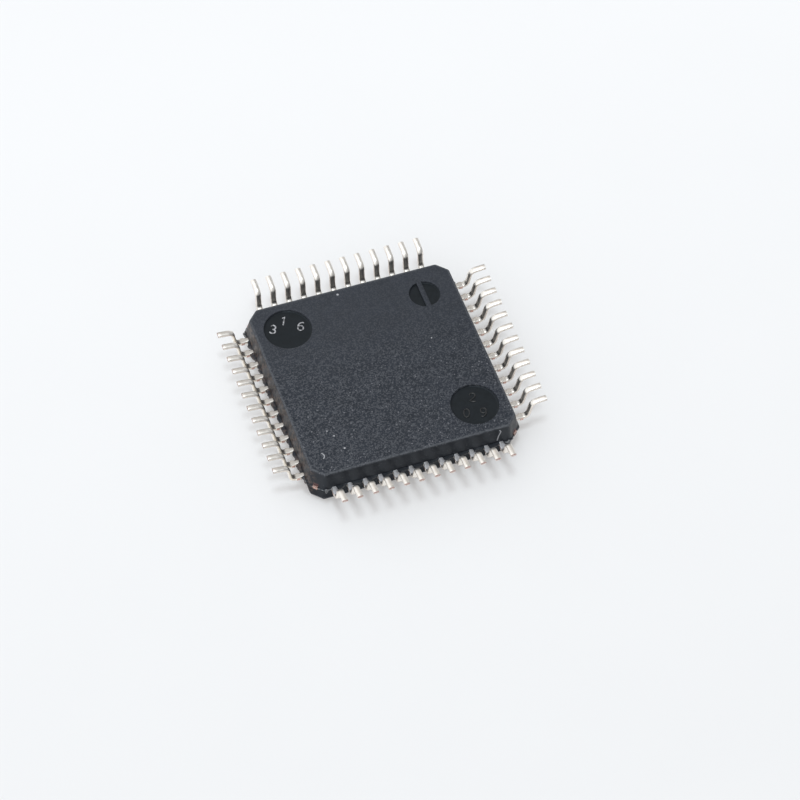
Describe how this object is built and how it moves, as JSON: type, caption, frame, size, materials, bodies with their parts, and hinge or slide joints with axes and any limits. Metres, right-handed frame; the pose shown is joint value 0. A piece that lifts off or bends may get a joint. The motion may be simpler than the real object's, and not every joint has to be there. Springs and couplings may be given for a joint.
{
  "type": "quad flat pack chip",
  "caption": "Square moulded quad flat pack chip with gull-wing leads on all four sides, lying on its marking face.",
  "frame": {"origin": "centre of the marking face, which the chip lies on, at the middle of the lead rows' box", "axes": "+Z from the marking face to the solder side and the feet; X and Y square to the four lead rows, with the pin 1 dimple at -X, -Y"},
  "size_m": [0.009, 0.009, 0.0015],
  "materials": {
    "mould_compound": "matte, grainy charcoal",
    "tin_plating": "satin tin over copper alloy",
    "copper_alloy": "satin bare copper alloy",
    "die_adhesive": "silver-filled epoxy",
    "silicon": "polished silicon",
    "gold_wire": "bright gold"
  },
  "bodies": {
    "root": {"moulded_body": "mould_compound", "die_pad": "copper_alloy", "die_attach": "die_adhesive", "die": "silicon", "bond_wires_left": "gold_wire", "bond_wires_back": "gold_wire", "bond_wires_right": "gold_wire", "bond_wires_front": "gold_wire", "lead_01": "tin_plating", "lead_02": "tin_plating", "lead_03": "tin_plating", "lead_04": "tin_plating", "lead_05": "tin_plating", "lead_06": "tin_plating", "lead_07": "tin_plating", "lead_08": "tin_plating", "lead_09": "tin_plating", "lead_10": "tin_plating", "lead_11": "tin_plating", "lead_12": "tin_plating", "lead_13": "tin_plating", "lead_14": "tin_plating", "lead_15": "tin_plating", "lead_16": "tin_plating", "lead_17": "tin_plating", "lead_18": "tin_plating", "lead_19": "tin_plating", "lead_20": "tin_plating", "lead_21": "tin_plating", "lead_22": "tin_plating", "lead_23": "tin_plating", "lead_24": "tin_plating", "lead_25": "tin_plating", "lead_26": "tin_plating", "lead_27": "tin_plating", "lead_28": "tin_plating", "lead_29": "tin_plating", "lead_30": "tin_plating", "lead_31": "tin_plating", "lead_32": "tin_plating", "lead_33": "tin_plating", "lead_34": "tin_plating", "lead_35": "tin_plating", "lead_36": "tin_plating", "lead_37": "tin_plating", "lead_38": "tin_plating", "lead_39": "tin_plating", "lead_40": "tin_plating", "lead_41": "tin_plating", "lead_42": "tin_plating", "lead_43": "tin_plating", "lead_44": "tin_plating", "lead_45": "tin_plating", "lead_46": "tin_plating", "lead_47": "tin_plating", "lead_48": "tin_plating"}
  },
  "joints": []
}
